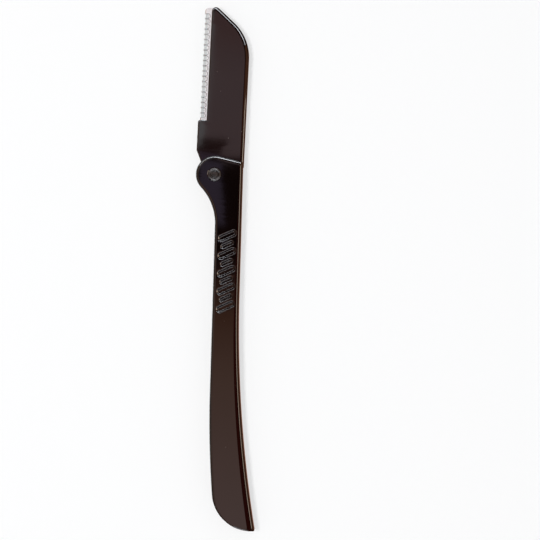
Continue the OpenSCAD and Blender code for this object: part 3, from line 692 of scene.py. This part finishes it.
fold_middle = Vector((guard_nose + guard_half, 0))
fold = [(flange_x, -guard_half), *arc(fold_middle, guard_half, 1.5 * pi, 0.5 * pi, outer_fold_steps)]
fold += [(flange_x, guard_half), (flange_x, blade_half)]
fold += [*arc(fold_middle, blade_half, 0.5 * pi, 1.5 * pi, inner_fold_steps), (flange_x, -blade_half)]
bm = bmesh.new()
ends = [[bm.verts.new(in_frame(x, y, z)) for x, z in fold] for y in (strip_foot, strip_top)]
for k in range(len(fold)):
    j = (k + 1) % len(fold)
    bm.faces.new([ends[0][k], ends[0][j], ends[1][j], ends[1][k]])
bm.faces.new(ends[0])
bm.faces.new(ends[1])
bmesh.ops.recalc_face_normals(bm, faces=bm.faces)
guard = into_object("blade_guard_foil", bm)
carve(guard, prism([
    (guard_nose - overrun, strip_top - guard_corner_r),
    *rounded(Vector((guard_nose, strip_top)), Vector((0, -1)), Vector((1, 0)), guard_corner_r,
             strip_corner_rows),
    (guard_nose + guard_corner_r, strip_top + overrun), (guard_nose - overrun, strip_top + overrun)],
    -overrun, overrun))

# The punch for one window, open past the nose and round at its inner end. It is wider at both faces
# of the guard, where the punching rolls the edges of the bars over.
window = window_pitch - bar
punch_end = Vector((guard_nose + window_length - window / 2, strip_foot + window_start + window / 2))


def window_outline(grow):
    half = window / 2 + grow
    return [(guard_nose - overrun, punch_end.y - half),
            *arc(punch_end, half, -pi / 2, pi / 2, window_end_steps),
            (guard_nose - overrun, punch_end.y + half)]


punch = lofted([(window_outline(grow), z) for grow, z in (
    (flare, -overrun), (flare, -guard_half), (0, -blade_half), (0, blade_half), (flare, guard_half),
    (flare, overrun))])

# Rolling lines 0.2 mm apart run across the strip, drawn coarser than the real ones too
# Its near-black cut colour is painted shade on the flared window edges and the folded nose, partly duller
# sheared foil
guard_steel = steel("rolled stainless foil", "#eef6f6", "#dae2e2", "#303638", 0.2,
                    (1 / 0.003, 1 / 0.0002, 1 / 0.003), 0.000002)
carve_row(guard, punch, window_count, (0, window_pitch), guard_steel)
smooth(guard, sharp_angle=35)
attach(guard, "blade_holder")
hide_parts("blade_guard")

# Studio
# A pale floor that the razor lies on, a soft light above and to the left, and the camera straight
# above. What the gloss mirrors is built round the razor from cards: an overhead softbox, low strips of
# light that draw the bright lines of the edges, dark cloth between them, and tables beside the razor.

floor_half = 1.5
bm = bmesh.new()
bmesh.ops.create_grid(bm, x_segments=1, y_segments=1, size=floor_half)
floor = into_object("floor", bm)
floor.data.transform(Matrix.Translation((0, 0, cad_box[0].z)))


def seen_rays(tree):
    """One for the rays of the camera, of gloss and of glass, and zero for all others."""
    rays = add_node(tree, "ShaderNodeLightPath")
    either = add_node(tree, "ShaderNodeMath", links={
        0: rays.outputs["Is Camera Ray"], 1: rays.outputs["Is Glossy Ray"]}, operation="MAXIMUM")
    return add_node(tree, "ShaderNodeMath", links={
        0: either.outputs[0], 1: rays.outputs["Is Transmission Ray"]}, operation="MAXIMUM").outputs[0]


paper = bpy.data.materials.new("matt white paper")
paper.use_nodes = True
tree = paper.node_tree
surface = tree.nodes["Principled BSDF"]
surface.inputs["Base Color"].default_value = colour("#fbfbfb")
surface.inputs["Roughness"].default_value = 0.9
surface.inputs["Specular IOR Level"].default_value = 0.1
paper_white = 0.6
bright = add_node(tree, "ShaderNodeMath", {1: paper_white}, {0: seen_rays(tree)}, operation="MULTIPLY")
white = add_node(tree, "ShaderNodeEmission", {"Color": colour("#ffffff"), "Strength": 1})
blend = add_node(tree, "ShaderNodeMixShader", links={
    0: bright.outputs[0], 1: surface.outputs[0], 2: white.outputs[0]})
tree.links.new(blend.outputs[0], tree.nodes["Material Output"].inputs["Surface"])
floor.data.materials.append(paper)

world = bpy.data.worlds.new("soft room")
world.use_nodes = True
bpy.context.scene.world = world
tree = world.node_tree
room = tree.nodes["Background"]
room.inputs["Color"].default_value = colour("#f6f8fb")
room.inputs["Strength"].default_value = 0.5
backdrop = add_node(tree, "ShaderNodeBackground", {"Color": colour("#ffffff"), "Strength": 1})
blend = add_node(tree, "ShaderNodeMixShader", links={
    0: seen_rays(tree), 1: room.outputs[0], 2: backdrop.outputs[0]})
tree.links.new(blend.outputs[0], tree.nodes["World Output"].inputs["Surface"])


def direction(azimuth, from_zenith):
    return Vector((*polar(sin(radians(from_zenith)), radians(azimuth)), cos(radians(from_zenith))))


# The largest side of a card's facets, in degrees
facet_turn = 5


def card(name, distance, azimuths, zeniths, code, strength):
    """A curved card round the razor that only gloss sees, between azimuths and angles from the zenith."""
    bm = bmesh.new()
    columns, rows = (ceil((end - start) / facet_turn) for start, end in (azimuths, zeniths))
    grid = [[bm.verts.new(direction(mix(*azimuths, i / columns), mix(*zeniths, j / rows)) * distance)
             for i in range(columns + 1)] for j in range(rows + 1)]
    for a, b in zip(grid, grid[1:]):
        for i in range(columns):
            bm.faces.new([a[i], a[i + 1], b[i + 1], b[i]])
    return shade(name, bm, code, strength)


def shade(name, bm, code, strength):
    """Makes a mesh a plain glowing cloth that only gloss sees, and returns the glow and its tree."""
    piece = into_object(name, bm)
    cloth = bpy.data.materials.new(name + " cloth")
    cloth.use_nodes = True
    tree = cloth.node_tree
    glow = add_node(tree, "ShaderNodeEmission", {"Color": colour(code), "Strength": strength})
    tree.links.new(glow.outputs[0], tree.nodes["Material Output"].inputs["Surface"])
    piece.data.materials.append(cloth)
    for rays in ("camera", "diffuse", "transmission", "volume_scatter", "shadow"):
        setattr(piece, "visible_" + rays, False)
    return glow, tree


def grade(glow, tree, low, high, stops):
    """Gives a cloth bands of colour that fade into each other, between two places along the razor."""
    where = add_node(tree, "ShaderNodeTexCoord").outputs["Object"]
    along = add_node(tree, "ShaderNodeSeparateXYZ", links={"Vector": where}).outputs["Y"]
    share = add_node(tree, "ShaderNodeMapRange", {"From Min": low, "From Max": high}, {"Value": along})
    bands = add_node(tree, "ShaderNodeValToRGB", links={0: share.outputs[0]})
    ramp = bands.color_ramp
    for k, (place, code) in enumerate(stops):
        stop = ramp.elements[k] if k < len(ramp.elements) else ramp.elements.new(place)
        stop.position, stop.color = place, colour(code)
    tree.links.new(bands.outputs[0], glow.inputs["Color"])


def flag(name, height, corners, code, strength):
    """A flat card that only gloss sees, at a height and through corners in millimetres from the hinge."""
    bm = bmesh.new()
    bm.faces.new([bm.verts.new(in_frame(x, y, height)) for x, y in corners])
    shade(name, bm, code, strength)


def oblong(low, high):
    return [low, (high[0], low[1]), high, (low[0], high[1])]


# The softbox fades from the butt to the grooves, is dark over the knuckle, and lights the holder
softbox_half = 0.2
softbox = card("overhead_softbox", 0.9, (0, 360), (0.01, 16), "#ffffff", 1.6)
grade(*softbox, -softbox_half, softbox_half, (
    (0.03, "#fcd4cc"), (0.3, "#e0b09c"), (0.41, "#b88068"), (0.49, "#6c4c44"), (0.53, "#000000"),
    (0.704, "#000000"), (0.714, "#ccb4b8"), (0.86, "#ccb4b8"), (0.96, "#c09c9c")))
# Cards to the left, in front and low to the right give the edges their tone
card("left_fill", 1.2, (100, 320), (16, 30), "#fcfcff", 0.62)
card("low_ring", 1.3, (118, 340), (32, 60), "#d8a890", 2.5)
card("front_ring", 1.2, (250, 335), (44, 60), "#e4e8f0", 14)
card("horizon_wall", 1.2, (-30, 7.5), (72, 92), "#ffe4cd", 8)
card("brown_corner", 1.2, (7.5, 28), (36, 92), "#b07858", 2)
# One low strip of light behind the razor, brightest in its middle, draws the bright lines
card("strip_start", 1.2, (28, 35), (60, 72), "#f4f8ff", 15)
card("strip_light", 1.2, (35, 62), (60, 72), "#f4f8ff", 26)
card("strip_peak", 1.2, (62, 95), (58, 72), "#f4f8ff", 40)
card("strip_fade", 1.2, (95, 118), (60, 72), "#f4f8ff", 26)
card("strip_end", 1.2, (118, 150), (58, 70), "#f4f8ff", 14)
# A dim red card that the bevel along the spine mirrors, dark cloth behind the others, and a low warm wall
card("red_side", 1.3, (-40, 20), (19, 32), "#d84838", 0.45)
card("dark_tent", 1.6, (0, 360), (15, 74), "#ffffff", 0.05)
card("warm_wall", 1.6, (0, 360), (74, 90), "#c8a898", 0.5)
# Flags under the softbox: dark over the holder's foot, violet over the knuckle, white over the guard, and
# a dimmer white farther to the left for the blade's ground edge
flag_height, veil_height = 850, 870
flag("holder_flag", flag_height, oblong((-42, 54.5), (-17.5, 66)), "#ffffff", 0.02)
flag("knuckle_veil", veil_height, oblong((-48, 4), (-21, 56)), "#b8a8cc", 1)
flag("guard_fill", flag_height, oblong((-140, 60), (-35.5, 190)), "#fcfcff", 1.6)
flag("grind_fill", flag_height, oblong((-460, 88), (-140, 190)), "#fcfcff", 0.75)
# Brown table beside the spine and dark table round the crown and the butt, which the edges mirror
table_height = 0.1 - half_thickness
flag("brown_table", table_height, oblong((9, -300), (310, 40)), "#c88868", 0.85)
flag("crown_table", table_height, (
    (9, 40), (7.6, 41), (4.5, 46), (0, 50.5), (-1.5, 51.2), (-3.4, 50.8), (-3.4, 300), (310, 300),
    (310, 40)), "#c88868", 0.1)
flag("butt_table", table_height, oblong((-300, -300), (9, -99)), "#c88868", 0.1)

lamp = bpy.data.lights.new("upper_left_light", "AREA")
lamp.shape, lamp.size, lamp.energy = "SQUARE", 0.16, 5.4
light = bpy.data.objects.new("upper_left_light", lamp)
light.location = direction(185, 15)
light.rotation_mode = "QUATERNION"
light.rotation_quaternion = light.location.to_track_quat("Z", "Y")
light.visible_glossy = False
bpy.context.scene.collection.objects.link(light)

# The photograph is taken from straight above. Its middle lies 18.3 mm across and 28.2 mm down from
# the hinge, it is 165 mm wide, and it is turned so that the razor leans to the right.
photo_middle, photo_width, photo_up, camera_height = (18.26, -28.19), 0.165, (-0.0489, 0.9988), 0.6
camera = bpy.data.objects.new("camera", bpy.data.cameras.new("camera"))
bpy.context.scene.collection.objects.link(camera)
camera.data.sensor_width = 36
camera.data.lens = camera.data.sensor_width * camera_height / photo_width
camera.location = in_frame(*photo_middle, 0) + Vector((0, 0, camera_height))
up = Vector((*photo_up, 0)).normalized()
across = up.cross(Vector((0, 0, 1)))
camera.rotation_mode = "QUATERNION"
camera.rotation_quaternion = Matrix((across, up, (0, 0, 1))).transposed().to_quaternion()
bpy.context.scene.camera = camera
bpy.context.scene.view_settings.view_transform = "Standard"
